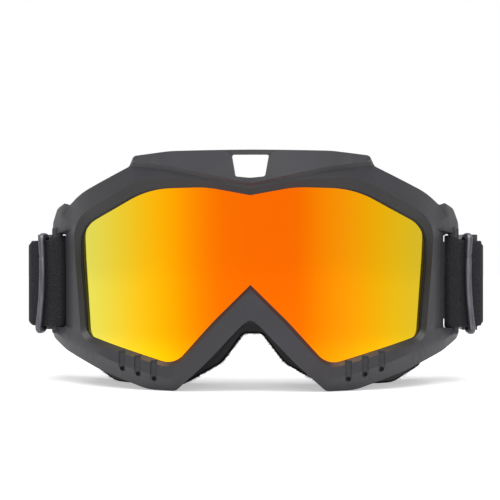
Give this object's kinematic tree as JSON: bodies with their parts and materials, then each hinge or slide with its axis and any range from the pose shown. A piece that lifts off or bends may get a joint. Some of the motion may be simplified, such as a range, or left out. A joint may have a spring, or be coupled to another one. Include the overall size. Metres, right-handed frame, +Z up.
{
  "type": "motorcycle goggles",
  "caption": "Curved goggles with a mirrored wrap lens, a brow fin with a window, an arched nose, foam padding and an elastic strap held by wire rings and sliders.",
  "frame": {"origin": "centre of the bounding box's base, on the surface that the goggles stand on", "axes": "+Z up, -Y the way the lens faces, +X to the wearer's left"},
  "size_m": [0.2194, 0.17, 0.1075],
  "materials": {
    "frame_plastic": "satin black moulded plastic",
    "mirror_lens": "orange to gold mirror coating",
    "seal_rubber": "matte black",
    "skirt_plastic": "matte black, flexible",
    "foam": "open-cell black foam",
    "fleece": "napped black fleece",
    "webbing": "woven elastic, black",
    "silicone": "satin black silicone",
    "ring_wire": "dark grey coated wire",
    "slider_plastic": "satin black moulded plastic",
    "thread": "black sewing thread"
  },
  "bodies": {
    "goggle_body": {"front_frame": "frame_plastic", "lens": "mirror_lens", "lens_gasket": "seal_rubber", "inner_skirt": "skirt_plastic", "face_foam": "foam", "face_fleece": "fleece", "elastic_strap": "webbing", "strap_grip": "silicone", "left_upper_vent_foam": "foam", "left_lower_vent_foam": "foam", "right_upper_vent_foam": "foam", "right_lower_vent_foam": "foam"},
    "left_keeper": {"left_keeper_ring": "ring_wire"},
    "left_slider": {"left_adjuster": "slider_plastic", "left_strap_end": "webbing", "left_lap_stitching": "thread"},
    "right_keeper": {"right_keeper_ring": "ring_wire"},
    "right_slider": {"right_adjuster": "slider_plastic", "right_strap_end": "webbing", "right_lap_stitching": "thread"}
  },
  "joints": [
    {"name": "left_keeper_slide", "type": "slide", "parent": "goggle_body", "child": "left_keeper", "axis": [0.9511, 0.309, 0], "range_m": [0, 0.002]},
    {"name": "left_adjuster_slide", "type": "slide", "parent": "goggle_body", "child": "left_slider", "axis": [-0.0785, 0.9969, 0], "range_m": [-0.008, 0.008]},
    {"name": "right_keeper_slide", "type": "slide", "parent": "goggle_body", "child": "right_keeper", "axis": [-0.9511, 0.309, 0], "range_m": [0, 0.002]},
    {"name": "right_adjuster_slide", "type": "slide", "parent": "goggle_body", "child": "right_slider", "axis": [0.0785, 0.9969, 0], "range_m": [-0.008, 0.008]}
  ]
}
